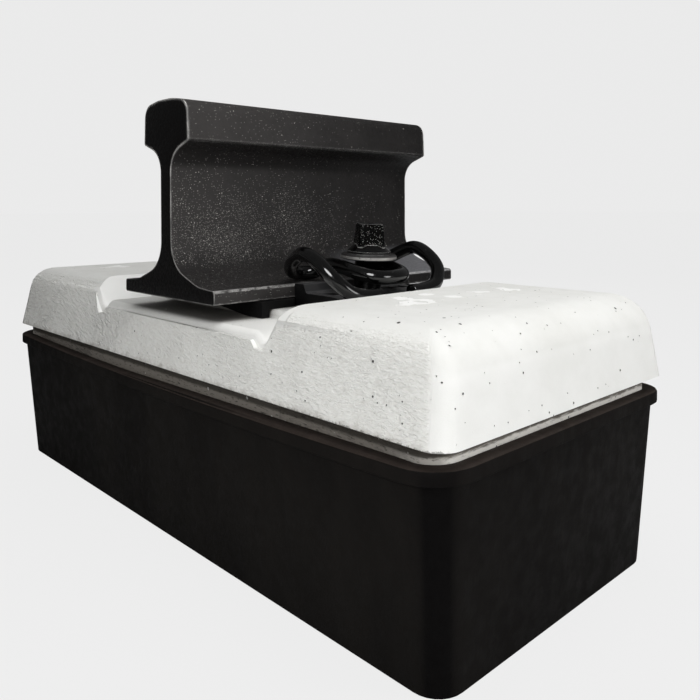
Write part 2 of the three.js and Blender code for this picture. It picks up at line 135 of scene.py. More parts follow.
def newGroup(name, takes, gives):
    # a shader node group that takes a position and named numbers, and the nodes at its two ends
    group = bpy.data.node_groups.new(name, "ShaderNodeTree")
    group.interface.new_socket("Position", in_out="INPUT", socket_type="NodeSocketVector")
    for label, value in takes.items():
        group.interface.new_socket(label, in_out="INPUT", socket_type="NodeSocketFloat").default_value = value
    for label in gives:
        group.interface.new_socket(label, in_out="OUTPUT", socket_type="NodeSocketFloat")
    return group, group.nodes.new("NodeGroupInput").outputs, group.nodes.new("NodeGroupOutput").inputs


def place(tree, group, position, numbers):
    # a shared effect in a material, with the material's own values
    return addNode(tree, "ShaderNodeGroup", {"Position": position, **numbers}, node_tree=group).outputs


# effects that several finishes share

def makeAirPores():
    # one pore in some of the cells: inside a radius round the cell's own point
    group, given, out = newGroup("airPores", {"Cells per metre": 60.0, "Share": 0.5, "Radius": 0.1},
                                 ["Pore", "Rim"])
    position = given["Position"]
    cells = addNode(group, "ShaderNodeTexVoronoi",
                    {"Vector": position, "Scale": given["Cells per metre"]}, feature="F1")
    draw = addNode(group, "ShaderNodeSeparateColor", {0: cells.outputs["Color"]}).outputs
    size = line(group, draw[1], 0.75, 0.35)
    ragged = line(group, noise(group, position, perMetre=700.0, detail=2.0), 0.8, 0.6)
    reach = calc(group, "DIVIDE", cells.outputs["Distance"], times(group, size, given["Radius"], ragged))
    there = calc(group, "LESS_THAN", draw[0], given["Share"])
    pore = times(group, remap(group, reach, 1.0, 0.7), there)
    halo = times(group, remap(group, reach, 1.45, 1.05), there)
    group.links.new(pore, out["Pore"])
    group.links.new(calc(group, "SUBTRACT", halo, pore, clamp=True), out["Rim"])
    return group


def makeFormWrinkles():
    # a net of ridges where a noise crosses its middle, with short slanting streaks on it:
    # the skin that a rough shutter leaves
    group, given, out = newGroup("formWrinkles", {"Per metre": 120.0}, ["Height", "Shade"])
    position = given["Position"]
    leaning = stretch(group, position, (0.5, 1.0, 1.3), (0, math.radians(-18), 0))
    net = noise(group, leaning, times(group, given["Per metre"], 0.85), detail=2.0, distortion=0.5)
    ridge = calc(group, "MULTIPLY_ADD", absolute(group, calc(group, "SUBTRACT", net, 0.5)), -8.0, 1.0, clamp=True)
    flat = stretch(group, position, (0.34, 1.0, 1.25), (0, math.radians(-12), 0))
    streaks = noise(group, flat, times(group, given["Per metre"], 1.1), roughness=0.6, distortion=0.3)
    height = line(group, ridge, 0.22, times(group, streaks, 1.05))
    strong = remap(group, noise(group, position, perMetre=13.0, detail=2.0), 0.3, 0.65, 0.5, 1.0)
    group.links.new(times(group, height, strong), out["Height"])
    group.links.new(remap(group, height, 0.25, 0.8), out["Shade"])
    return group


def makeWornEdges():
    # where the rounded normal leaves the true one, an edge is near; noise breaks the line up
    group, given, out = newGroup("wornEdges", {"Radius": 0.0012, "Patches": 60.0, "Amount": 0.5}, ["Worn"])
    rounded = addNode(group, "ShaderNodeBevel", {"Radius": given["Radius"]}, samples=6).outputs[0]
    true = addNode(group, "ShaderNodeNewGeometry").outputs["Normal"]
    same = addNode(group, "ShaderNodeVectorMath", {0: rounded, 1: true}, operation="DOT_PRODUCT")
    edge = remap(group, outside(group, same.outputs["Value"]), 0.01, 0.16)
    patchy = noise(group, given["Position"], given["Patches"], detail=4.0, roughness=0.65)
    cut = times(group, outside(group, given["Amount"]), 0.62)
    kept = remap(group, calc(group, "SUBTRACT", patchy, cut), 0.0, 0.16)
    group.links.new(times(group, edge, kept), out["Worn"])
    return group


def makeSpecks():
    # small dots, one in some cells
    group, given, out = newGroup("specks", {"Cells per metre": 400.0, "Share": 0.3, "Radius": 0.2}, ["Speck"])
    # turned askew, so that flat faces do not run along the rows of cells
    askew = stretch(group, given["Position"], (1.0, 1.0, 1.0), (0.61, 0.43, 0.37))
    cells = addNode(group, "ShaderNodeTexVoronoi",
                    {"Vector": askew, "Scale": given["Cells per metre"]}, feature="F1")
    draw = addNode(group, "ShaderNodeSeparateColor", {0: cells.outputs["Color"]}).outputs
    there = calc(group, "LESS_THAN", draw[0], given["Share"])
    dot = remap(group, cells.outputs["Distance"], given["Radius"], 0.0)
    group.links.new(times(group, dot, there), out["Speck"])
    return group


def makeMottle():
    # broad soft clouds with a finer cloud on them
    group, given, out = newGroup("mottle", {"Broad": 8.0, "Fine": 45.0}, ["Cloud", "Grain"])
    broad = noise(group, given["Position"], given["Broad"], roughness=0.55)
    fine = noise(group, given["Position"], given["Fine"], detail=4.0, roughness=0.6)
    both = line(group, fine, 0.35, times(group, broad, 0.65))
    group.links.new(remap(group, both, 0.32, 0.68), out["Cloud"])
    group.links.new(fine, out["Grain"])
    return group


def makeDust():
    # settled dust: upward faces, thinner where the noise is low
    group, given, out = newGroup("settledDust", {"Clumps": 70.0}, ["Dust"])
    up = splitVector(group, addNode(group, "ShaderNodeNewGeometry").outputs["Normal"])[2]
    clumps = noise(group, given["Position"], given["Clumps"], detail=5.0, roughness=0.65)
    dust = times(group, remap(group, up, 0.2, 0.95), remap(group, clumps, 0.4, 0.75))
    group.links.new(dust, out["Dust"])
    return group


airPores = makeAirPores()
formWrinkles = makeFormWrinkles()
wornEdges = makeWornEdges()
specks = makeSpecks()
mottle = makeMottle()
settledDust = makeDust()
print("shared effects made")


def startMaterial(name, finish):
    # an empty material with its Principled shader, the object's coordinates and the finish's clouds
    material = bpy.data.materials.new(name)
    material.use_nodes = True
    tree = material.node_tree
    tree.nodes.clear()
    given = {"Roughness": finish["roughness"], "Specular IOR Level": finish["specular"]}
    shader = addNode(tree, "ShaderNodeBsdfPrincipled", given)
    out = addNode(tree, "ShaderNodeOutputMaterial")
    tree.links.new(shader.outputs[0], out.inputs["Surface"])
    position = addNode(tree, "ShaderNodeTexCoord").outputs["Object"]
    return material, tree, shader.inputs, position, place(tree, mottle, position, finish["clouds"])


def faceDirection(tree):
    return splitVector(tree, addNode(tree, "ShaderNodeTexCoord").outputs["Normal"])


def variedRoughness(tree, pattern, finish):
    # the finish's roughness, lowered and raised by its spread as the pattern goes
    lowered, raised = finish["spread"]
    return remap(tree, pattern, 0.3, 0.7, finish["roughness"] - lowered, finish["roughness"] + raised)


# the concrete

concrete = {
    "skin": chartColour(231, 231, 228),
    "greyer": chartColour(222, 222, 218),
    "sideSkin": chartColour(236, 236, 232),
    "sideShade": chartColour(226, 225, 220),
    "laitance": chartColour(250, 250, 248),
    "floated": chartColour(198, 197, 194),
    "poreInside": chartColour(40, 37, 33),
    "crevice": chartColour(64, 60, 54),
    "stain": chartColour(122, 112, 98),
    "neckSmear": chartColour(113, 108, 101),
    "neckFace": chartColour(220, 217, 211),
    "roughness": 0.82,
    "spread": (0.07, 0.06),
    "specular": 0.2,
    "clouds": {"Broad": 9.0, "Fine": 60.0},  # per metre
    # the part's own sizes
    "neckFoot": 0.1415,
    "lipLevel": 0.1522,
    "shoulderTop": 0.2188,
    "lipHalfWidth": 0.145,
    "batter": 0.2,
    "troughHalf": 0.1575,
    # how strongly each effect shows
    "whiterSides": 0.22,
    "whiterTrough": 0.6,
    "greyerBed": 0.5,
    "milk": 0.9,
    "lipDirt": 0.4,
    "chips": 0.6,
    "creviceDirt": 0.75,
    "creviceReach": 0.035,
    "bedDirt": 0.8,
    "neckShadow": 0.85,
    "poreRims": 0.4,
    "poreDark": 0.92,
    # where each zone starts and is full: along the block, up it, or out from the seat's middle
    "wrinkleRun": (-0.25, 0.15),
    "deeperRun": (-0.2, 0.15, 2.4, 1.0),  # and how many times deeper the wrinkles are at each
    "poreRun": (-0.12, 0.06, 0.2, 1.0),  # and the share of pores at each
    "chipRun": (0.0, 0.3),
    "cleanerRun": (0.265, 0.34, 0.03, 0.6),  # and how pale the neck's foot is at each
    "troughEdge": (0.001, -0.001),  # this and the next are over troughHalf
    "troughWall": (0.008, 0.004),
    "wallFoot": (0.176, 0.182),
    "bedHeight": (0.207, 0.203),
    "bedReach": (0.115, 0.085),
    "bedFoot": (0.190, 0.194),
    # where bands lie: start and full strength, over the lip's level or the neck's foot
    "lipDirtBand": (0.0135, 0.0065),
    "chipBand": (0.0046, 0.0036),
    "neckBand": (-0.0022, -0.0030),
    "shadowBand": (0.0030, 0.0056),
    "footBand": (0.0092, 0.0050),
    "footDrop": (-0.0040, -0.0018),  # how far that band lies lower on the ends
    # patterns and their depths
    "wrinklesPerMetre": (250.0, 410.0),  # at the left and at the right
    "wrinkleDepth": 0.0018,
    "gritPerMetre": 900.0,
    "gritDepth": 0.00012,
    "milkDepth": 0.0008,
    "bigPores": {"Cells per metre": 68.0, "Share": 0.5, "Radius": 0.092},  # the radius is in cells
    "smallPores": {"Cells per metre": 150.0, "Share": 0.75, "Radius": 0.12},
    "poreDepth": 0.0012,
    "splashes": [  # where cement milk dried on the shoulders: x, y and radius
        (0.197, -0.037, 0.011), (0.221, -0.052, 0.013), (0.196, -0.001, 0.008), (0.219, -0.030, 0.012),
        (0.220, 0.003, 0.009), (0.216, 0.040, 0.011), (0.222, 0.071, 0.013), (-0.247, -0.058, 0.018),
    ],
}


def makeConcrete():
    c = concrete
    material, tree, shader, position, cloud = startMaterial("paleCastConcrete", c)
    x, y, z = splitVector(tree, position)
    faceX, faceY, faceZ = faceDirection(tree)

    # the shutter's wrinkles lie on the long faces and run out over the rounding above them
    level = calc(tree, "SQRT", line(tree, faceX, faceX, times(tree, faceY, faceY)))
    square = calc(tree, "DIVIDE", absolute(tree, faceY), calc(tree, "MAXIMUM", level, 0.01))
    wander = line(tree, noise(tree, position, perMetre=26.0), 0.3, -0.15)
    upright = remap(tree, calc(tree, "ADD", faceZ, wander), 0.95, 0.5)
    # the trough's flared ends lie behind the long face's plane and are smooth
    along = absolute(tree, calc(tree, "SUBTRACT", x, seat["x"]))
    plane = line(tree, calc(tree, "SUBTRACT", z, c["lipLevel"]), -c["batter"], c["lipHalfWidth"])
    behind = remap(tree, calc(tree, "SUBTRACT", plane, absolute(tree, y)), 0.0003, 0.0013)
    flare = times(tree, behind, above(tree, along, c["troughHalf"], c["troughEdge"]))
    side = times(tree, remap(tree, square, 0.93, 0.985), upright, outside(tree, flare))

    skin = mixColour(tree, cloud["Cloud"], c["skin"], c["greyer"])
    # upright faces came off the mould whiter than the floated top
    skin = mixColour(tree, times(tree, remap(tree, level, 0.93, 0.975), c["whiterSides"]), skin, c["laitance"])
    finer = remap(tree, x, *c["wrinkleRun"], *c["wrinklesPerMetre"])
    wrinkles = place(tree, formWrinkles, position, {"Per metre": finer})
    sideColour = mixColour(tree, wrinkles["Shade"], c["sideShade"], c["sideSkin"])
    colour = mixColour(tree, side, skin, sideColour)

    # the trough's walls came off a smooth mould and are whiter; the whitening also stands in, as painted light,
    # for the light that falls on them
    inTrough = times(tree, above(tree, along, c["troughHalf"], c["troughWall"]), remap(tree, z, *c["wallFoot"]))
    whiter = times(tree, inTrough, remap(tree, absolute(tree, faceX), 0.35, 0.65))
    colour = mixColour(tree, times(tree, whiter, c["whiterTrough"]), colour, c["laitance"])

    # painted shadow: the bed of the seat, where the rail shades it, is painted a little greyer
    bed = times(tree, remap(tree, z, *c["bedHeight"]), remap(tree, faceZ, 0.90, 0.97))
    colour = mixColour(tree, times(tree, bed, c["greyerBed"]), colour, c["floated"])

    # splashes of cement milk: nearness to the closest one, its outline broken by a noise
    nearest = 2.0
    for splashX, splashY, radius in c["splashes"]:
        away = addNode(tree, "ShaderNodeVectorMath",
                       {0: position, 1: (splashX, splashY, c["shoulderTop"])}, operation="DISTANCE")
        nearest = calc(tree, "MINIMUM", calc(tree, "DIVIDE", away.outputs["Value"], radius), nearest)
    flakes = noise(tree, stretch(tree, position, (1.0, 0.7, 1.0), (0, 0, math.radians(20))),
                   perMetre=88.0, detail=4.0)
    milk = remap(tree, line(tree, flakes, 3.4, times(tree, nearest, -1.0)), 0.86, 1.02)
    colour = mixColour(tree, times(tree, milk, c["milk"]), colour, c["laitance"])

    # dirt that gathers along the lip of the long faces
    uneven = line(tree, noise(tree, position, perMetre=70.0, detail=5.0, roughness=0.65), 0.018, z)
    lipDirt = above(tree, uneven, c["lipLevel"], c["lipDirtBand"])
    colour = mixColour(tree, times(tree, lipDirt, side, c["lipDirt"]), colour, c["stain"])

    # the lip's lower edge is chipped here and there, mostly towards the right; the chips are painted dark as
    # painted shade
    jagged = line(tree, noise(tree, position, perMetre=290.0, detail=5.0, roughness=0.7), 0.0075, z)
    chippedShade = times(tree, above(tree, jagged, c["lipLevel"], c["chipBand"]),
                    times(tree, remap(tree, x, *c["chipRun"]), remap(tree, square, 0.3, 0.7)))
    colour = mixColour(tree, times(tree, chippedShade, c["chips"]), colour, c["crevice"])

    # painted shade: crevices, under the lip and round what stands on the seat, are painted darker where the
    # occlusion node finds them closed in, and more so on the seat's bed beside the rail
    hollow = addNode(tree, "ShaderNodeAmbientOcclusion", {"Distance": c["creviceReach"]}, samples=8).outputs["AO"]
    colour = mixColour(tree, remap(tree, hollow, 0.42, 0.03, 0.0, c["creviceDirt"]), colour, c["crevice"])
    onBed = times(tree, remap(tree, along, *c["bedReach"]), remap(tree, z, *c["bedFoot"]))
    bedDirt = times(tree, remap(tree, hollow, 0.9, 0.35), times(tree, onBed, c["bedDirt"]))
    colour = mixColour(tree, bedDirt, colour, c["crevice"])

    # the neck under the lip: its upper part painted dark as the lip's shadow, with dark smears in it, the painted
    # shadow reaching lower on the long faces than on the ends; below it a paler streaky band along its foot,
    # palest on the ends
    neck = above(tree, z, c["lipLevel"], c["neckBand"])
    smear = noise(tree, stretch(tree, position, (0.5, 0.5, 3.4)), perMetre=150.0, detail=4.0, roughness=0.65)
    endward = remap(tree, absolute(tree, faceY), 0.95, 0.25)
    footward = line(tree, endward, -0.0022, line(tree, smear, 0.0065, z))
    footStart = line(tree, endward, c["footDrop"][0], c["neckFoot"] + c["footBand"][0])
    footFull = line(tree, endward, c["footDrop"][1], c["neckFoot"] + c["footBand"][1])
    foot = remap(tree, footward, footStart, footFull)
    palerFoot = calc(tree, "MAXIMUM", endward, remap(tree, absolute(tree, x), *c["cleanerRun"]))
    shadedNeck = mixColour(tree, times(tree, foot, palerFoot), c["neckSmear"], c["neckFace"])
    crumbs = noise(tree, stretch(tree, position, (0.35, 0.35, 1.3)), perMetre=460.0, roughness=0.65)
    bits = times(tree, remap(tree, crumbs, 0.54, 0.66), line(tree, endward, -0.5, 0.75))
    shadedNeck = mixColour(tree, bits, shadedNeck, c["poreInside"])
    # painted shadow: a darker line right under the lip
    lifted = line(tree, endward, -0.0020, line(tree, smear, 0.003, z))
    shadow = above(tree, lifted, c["neckFoot"], c["shadowBand"])
    shadedNeck = mixColour(tree, times(tree, shadow, c["neckShadow"]), shadedNeck, c["poreInside"])
    colour = mixColour(tree, neck, colour, shadedNeck)

    # air pores, more of them towards the right; each is painted dark inside as painted shade, with a pale rim as a
    # painted highlight
    rightward = remap(tree, x, *c["poreRun"])
    big, small = (place(tree, airPores, position, {**sizes, "Share": times(tree, rightward, sizes["Share"])})
                  for sizes in (c["bigPores"], c["smallPores"]))
    pores = calc(tree, "MAXIMUM", big["Pore"], small["Pore"])
    rims = calc(tree, "MAXIMUM", big["Rim"], times(tree, small["Rim"], 0.5))
    colour = mixColour(tree, times(tree, rims, c["poreRims"]), colour, c["laitance"])
    colour = mixColour(tree, times(tree, pores, c["poreDark"]), colour, c["poreInside"])
    tree.links.new(colour, shader["Base Color"])

    normal = bump(tree, noise(tree, position, c["gritPerMetre"], detail=2.0, roughness=0.6), c["gritDepth"])
    deeper = times(tree, side, remap(tree, x, *c["deeperRun"]))
    normal = bump(tree, times(tree, wrinkles["Height"], deeper), c["wrinkleDepth"], normal)
    normal = bump(tree, times(tree, milk, line(tree, flakes, 0.6, 0.4)), c["milkDepth"], normal)
    normal = bump(tree, line(tree, rims, 0.2, times(tree, pores, -1.0)), c["poreDepth"], normal)
    tree.links.new(normal, shader["Normal"])
    tree.links.new(variedRoughness(tree, cloud["Grain"], c), shader["Roughness"])
    return material


# the rubber of the boot

boot = {
    "rubber": chartColour(7, 6, 6),
    "bloom": chartColour(27, 25, 23),
    "rim": chartColour(58, 51, 47),
    "roughness": 0.66,
    "spread": (0.08, 0.12),
    "specular": 0.06,
    "clouds": {"Broad": 7.0, "Fine": 80.0},
    "rimLevel": 0.1319,
    "rimBand": (-0.0004, 0.0006),
    "sag": 0.0055,
    "halfLength": 0.325,
    "handledRun": (-0.34, -0.12, 0.2, 1.0),  # along the boot, and the bloom at each end of that
    "upwardRim": (0.03, 0.72),  # how much of the rim's colour shows on its side and on its top
    "dustClumps": 90.0,
    "rimDust": 0.28,
    "streaksPerMetre": 24.0,
    "grainPerMetre": 650.0,
    "grainDepth": 0.00018,
    "streakDepth": 0.0004,
}


def makeBootRubber():
    c = boot
    material, tree, shader, position, cloud = startMaterial("mouldedBootRubber", c)
    x, _, z = splitVector(tree, position)
    faceX, faceY, faceZ = faceDirection(tree)
    drawnOut = stretch(tree, position, (1.0, 1.0, 0.28))
    streaks = remap(tree, noise(tree, drawnOut, c["streaksPerMetre"], detail=4.0, roughness=0.6), 0.35, 0.7)
    # the flat walls have a greyer bloom than the rounded corners
    flat = remap(tree, calc(tree, "MAXIMUM", absolute(tree, faceX), absolute(tree, faceY)), 0.86, 0.99)
    blotched = line(tree, streaks, 0.3, line(tree, cloud["Cloud"], 0.35, 0.3))
    lengthwiseShare = times(tree, remap(tree, x, *c["handledRun"]), remap(tree, faceX, 0.8, 1.0, 1.0, 0.6))
    colour = mixColour(tree, times(tree, blotched, flat, lengthwiseShare), c["rubber"], c["bloom"])
    # the rim hangs lowest halfway along: the height is straightened before the rim is found
    bow = line(tree, times(tree, x, x), -c["sag"] / c["halfLength"] ** 2, c["sag"])
    onRim = above(tree, calc(tree, "ADD", z, bow), c["rimLevel"], c["rimBand"])
    dust = place(tree, settledDust, position, {"Clumps": c["dustClumps"]})["Dust"]
    upward = remap(tree, faceZ, 0.3, 0.8, *c["upwardRim"])
    rimShare = times(tree, onRim, line(tree, dust, c["rimDust"], upward))
    colour = mixColour(tree, rimShare, colour, c["rim"])
    tree.links.new(colour, shader["Base Color"])
    normal = bump(tree, noise(tree, position, c["grainPerMetre"], roughness=0.6), c["grainDepth"])
    tree.links.new(bump(tree, streaks, c["streakDepth"], normal), shader["Normal"])
    tree.links.new(variedRoughness(tree, cloud["Grain"], c), shader["Roughness"])
    return material


# the rail's dark coating

rail = {
    "coat": chartColour(24, 23, 23),
    "coatLight": chartColour(60, 58, 57),
    "cutFace": chartColour(9, 8, 8),
    "dust": chartColour(112, 112, 115),
    "bare": chartColour(226, 224, 221),
    "speck": chartColour(190, 187, 182),
    "roughness": 0.44,
    "spread": (0.08, 0.16),
    "specular": 0.12,
    "clouds": {"Broad": 14.0, "Fine": 160.0},
    "toe": 0.075,  # half the foot's width
    "footLevel": 0.2116,  # the foot's underside
    # where each zone starts and is full, along the rail or up it
    "handledRun": (0.16, -0.2),
    "footTop": (0.27, 0.25),
    "dustRun": (0.02, 0.10),
    "dustHeight": (0.25, 0.235),
    "fleckRun": (0.10, -0.06, 0.12, 1.0),  # and the share of flecks at each
    "fleckHeight": (0.335, 0.262, 0.13, 1.0),
    "fewOnFoot": (0.244, 0.238),
    "headHeight": (0.325, 0.345),
    "wearHeight": (0.235, 0.34, 0.5, 1.0),  # and the share of wear at each
    "toeTop": (-0.0032, -0.0018),  # these three are from the toe or the foot's underside
    "toeSide": (-0.0016, -0.0008),
    "toeUnder": (0.0024, 0.0012),
    # how strongly each effect shows
    "dusty": 0.75,
    "darkUnderHead": 0.6,
    "worn": 0.75,
    "wornMetal": 0.2,
    "rubbedFoot": 0.5,
    # patterns and their depth
    "fineFlecks": {"Cells per metre": 900.0, "Radius": 0.40},
    "coarseFlecks": {"Cells per metre": 430.0, "Radius": 0.25},
    "coarseShare": 0.3,
    "wear": {"Patches": 260.0, "Amount": 0.85},
    "wearRadius": (0.0022, 0.0042),  # below the head and on it
    "scalePerMetre": 380.0,
    "grainPerMetre": 1350.0,
    "scaleDepth": 0.00032,
}


def makeRailCoat():
    c = rail
    material, tree, shader, position, cloud = startMaterial("darkRailCoat", c)
    x, y, z = splitVector(tree, position)
    _, faceY, faceZ = faceDirection(tree)
    # painted light: the coat is painted greyer towards the near end, standing in for the light that falls off
    # along the rail, and less so on the foot's top
    lengthwiseShare = remap(tree, y, *c["handledRun"])
    share = line(tree, lengthwiseShare, 0.6, times(tree, cloud["Cloud"], 0.22))
    upper = times(tree, remap(tree, faceZ, 0.1, 0.8, 0.0, 0.5), remap(tree, z, *c["footTop"]))
    colour = mixColour(tree, times(tree, share, outside(tree, upper)), c["coat"], c["coatLight"])
    # the foot's top is dusty behind the fastening
    dusty = times(tree, remap(tree, faceZ, 0.15, 0.6),
                  times(tree, remap(tree, z, *c["dustHeight"]), remap(tree, y, *c["dustRun"])))
    colour = mixColour(tree, times(tree, dusty, c["dusty"]), colour, c["dust"])
    endFace = remap(tree, absolute(tree, faceY), 0.8, 0.95)
    colour = mixColour(tree, endFace, colour, c["cutFace"])
    # painted shadow: the fishing surface under the head is painted dark where the head shades it
    under = remap(tree, faceZ, -0.12, -0.45)
    colour = mixColour(tree, times(tree, under, c["darkUnderHead"]), colour, c["cutFace"])

    # light flecks of scale, thickest low on the web and thinning along the rail, few on the foot
    grains = noise(tree, position, c["grainPerMetre"], roughness=0.75)
    scale = noise(tree, position, c["scalePerMetre"], detail=4.0, roughness=0.65)
    clumps = noise(tree, stretch(tree, position, (1.0, 0.6, 1.0)), perMetre=30.0, detail=4.0, roughness=0.65)
    gathered = times(tree, remap(tree, clumps, 0.34, 0.62, 0.4, 1.0),
                     times(tree, remap(tree, y, *c["fleckRun"]), remap(tree, z, *c["fleckHeight"])))
    thick = times(tree, gathered, line(tree, remap(tree, z, *c["fewOnFoot"]), -0.8, 1.0))
    fine = place(tree, specks, position, {**c["fineFlecks"], "Share": thick})["Speck"]
    fewer = times(tree, thick, c["coarseShare"])
    coarse = place(tree, specks, position, {**c["coarseFlecks"], "Share": fewer})["Speck"]
    dotted = calc(tree, "MAXIMUM", remap(tree, fine, 0.0, 0.7, 0.0, 0.55), remap(tree, coarse, 0.0, 0.5, 0.0, 0.9))
    colour = mixColour(tree, times(tree, dotted, outside(tree, endFace)), colour, c["speck"])

    # the edges are painted pale: partly real wear, partly a painted highlight along them
    radius = remap(tree, z, *c["headHeight"], *c["wearRadius"])
    worn = place(tree, wornEdges, position, {**c["wear"], "Radius": radius})["Worn"]
    broken = remap(tree, noise(tree, position, perMetre=75.0, roughness=0.6), 0.38, 0.6, 0.4, 1.0)
    worn = times(tree, worn, times(tree, broken, remap(tree, z, *c["wearHeight"])))
    # the foot's long edges: the toe's top is rubbed, partly real wear and partly a painted highlight, and the
    # side's lower edge carries a painted highlight
    outward = absolute(tree, calc(tree, "SUBTRACT", x, seat["x"]))
    onToe = times(tree, above(tree, outward, c["toe"], c["toeTop"]), remap(tree, faceZ, 0.15, 0.5))
    lowerEdgeHighlight = times(tree, above(tree, outward, c["toe"], c["toeSide"]),
                  above(tree, z, c["footLevel"], c["toeUnder"]))
    patchy = noise(tree, stretch(tree, position, (1.0, 0.5, 1.0)), perMetre=420.0, detail=4.0, roughness=0.65)
    rubbed = times(tree, calc(tree, "MAXIMUM", onToe, lowerEdgeHighlight), remap(tree, patchy, 0.3, 0.65))
    worn = calc(tree, "MAXIMUM", worn, times(tree, rubbed, c["rubbedFoot"]))
    colour = mixColour(tree, times(tree, worn, c["worn"]), colour, c["bare"])
    tree.links.new(colour, shader["Base Color"])
    tree.links.new(times(tree, worn, c["wornMetal"]), shader["Metallic"])
    tree.links.new(bump(tree, line(tree, grains, 0.35, scale), c["scaleDepth"]), shader["Normal"])
    tree.links.new(variedRoughness(tree, scale, c), shader["Roughness"])
    return material


# rubber of the rail pad and the pad under the block

pads = {
    "rubber": chartColour(9, 9, 9),
    "scuffed": chartColour(24, 23, 23),
    "roughness": 0.58,
    "spread": (0.1, 0.12),
    "specular": 0.12,
    "clouds": {"Broad": 30.0, "Fine": 220.0},
    "wear": {"Radius": 0.0008, "Patches": 120.0, "Amount": 0.6},
    "grainPerMetre": 800.0,
    "grainDepth": 0.00012,
}


def makePadRubber():
    c = pads
    material, tree, shader, position, cloud = startMaterial("blackPadRubber", c)
    worn = place(tree, wornEdges, position, c["wear"])["Worn"]
    share = line(tree, worn, 0.5, times(tree, cloud["Cloud"], 0.35))
    tree.links.new(mixColour(tree, share, c["rubber"], c["scuffed"]), shader["Base Color"])
    grain = noise(tree, position, c["grainPerMetre"], roughness=0.6)
    tree.links.new(bump(tree, grain, c["grainDepth"]), shader["Normal"])
    tree.links.new(variedRoughness(tree, cloud["Grain"], c), shader["Roughness"])
    return material


# glass-filled plastic of the guide plates

plate = {
    "plastic": chartColour(8, 8, 8),
    "sheen": chartColour(20, 20, 21),
    "bleached": chartColour(60, 60, 61),
    "dust": chartColour(118, 114, 108),
    "roughness": 0.46,
    "spread": (0.1, 0.12),
    "specular": 0.2,
    "clouds": {"Broad": 25.0, "Fine": 260.0},
    "wear": {"Radius": 0.0008, "Patches": 130.0, "Amount": 0.55},
    "dustClumps": 110.0,
    "dusty": 0.12,
    "greyed": 0.7,
    "grainPerMetre": 1100.0,
    "grainDepth": 0.0001,
}


def makePlatePlastic():
    c = plate
    material, tree, shader, position, cloud = startMaterial("blackPlatePlastic", c)
    worn = place(tree, wornEdges, position, c["wear"])["Worn"]
    dust = place(tree, settledDust, position, {"Clumps": c["dustClumps"]})["Dust"]
    share = line(tree, worn, 0.5, times(tree, cloud["Cloud"], 0.4))
    colour = mixColour(tree, share, c["plastic"], c["sheen"])
    # painted sheen: the top and its slopes, which face the lamps, are painted greyer
    greyed = remap(tree, faceDirection(tree)[2], 0.2, 0.6)
    colour = mixColour(tree, times(tree, greyed, c["greyed"]), colour, c["bleached"])
    tree.links.new(mixColour(tree, times(tree, dust, c["dusty"]), colour, c["dust"]), shader["Base Color"])
    grain = noise(tree, position, c["grainPerMetre"], roughness=0.6)
    tree.links.new(bump(tree, grain, c["grainDepth"]), shader["Normal"])
    tree.links.new(variedRoughness(tree, cloud["Grain"], c), shader["Roughness"])
    return material


# gloss coating of the tension clamps

clampCoat = {
    "paint": chartColour(3, 3, 3),
    "thin": chartColour(6, 6, 6),
    "rubbed": chartColour(70, 68, 66),
    "roughness": 0.11,
    "spread": (0.06, 0.12),
    "specular": 0.25,
    "gloss": 0.75,
    "glossRoughness": 0.05,
    "clouds": {"Broad": 40.0, "Fine": 300.0},
    "nicks": {"Cells per metre": 260.0, "Share": 0.10, "Radius": 0.22},
    "nickShare": 0.6,
    "runsPerMetre": 140.0,
    "runDepth": 0.00025,
}


def makeClampCoat():
    c = clampCoat
    material, tree, shader, position, cloud = startMaterial("glossClampCoat", c)
    shader["Coat Weight"].default_value = c["gloss"]
    shader["Coat Roughness"].default_value = c["glossRoughness"]
    nicks = place(tree, specks, position, c["nicks"])["Speck"]
    colour = mixColour(tree, cloud["Cloud"], c["paint"], c["thin"])
    colour = mixColour(tree, times(tree, nicks, c["nickShare"]), colour, c["rubbed"])
    tree.links.new(colour, shader["Base Color"])
    tree.links.new(bump(tree, noise(tree, position, c["runsPerMetre"]), c["runDepth"]), shader["Normal"])
    tree.links.new(variedRoughness(tree, cloud["Grain"], c), shader["Roughness"])
    return material


# forged scale and paint on the screws

screw = {
    "paint": chartColour(3, 3, 3),
    "scale": chartColour(5, 5, 5),
    "spark": chartColour(250, 249, 246),
    "roughness": 0.42,
    "spread": (0.14, 0.2),
    "specular": 0.03,
    "glossRoughness": 0.1,
    "clouds": {"Broad": 60.0, "Fine": 340.0},
    "collarTop": 0.2563,
    "collarBand": (0.0012, -0.0006),
    "flecks": {"Cells per metre": 1350.0, "Share": 0.26, "Radius": 0.36},
    "fleckShare": 0.9,
    "wear": {"Radius": 0.0011, "Patches": 420.0, "Amount": 0.6},
    "wearShare": 0.75,
    "sparkMetal": 0.7,
    "pitsPerMetre": 420.0,
    "pitDepth": 0.0004,
}


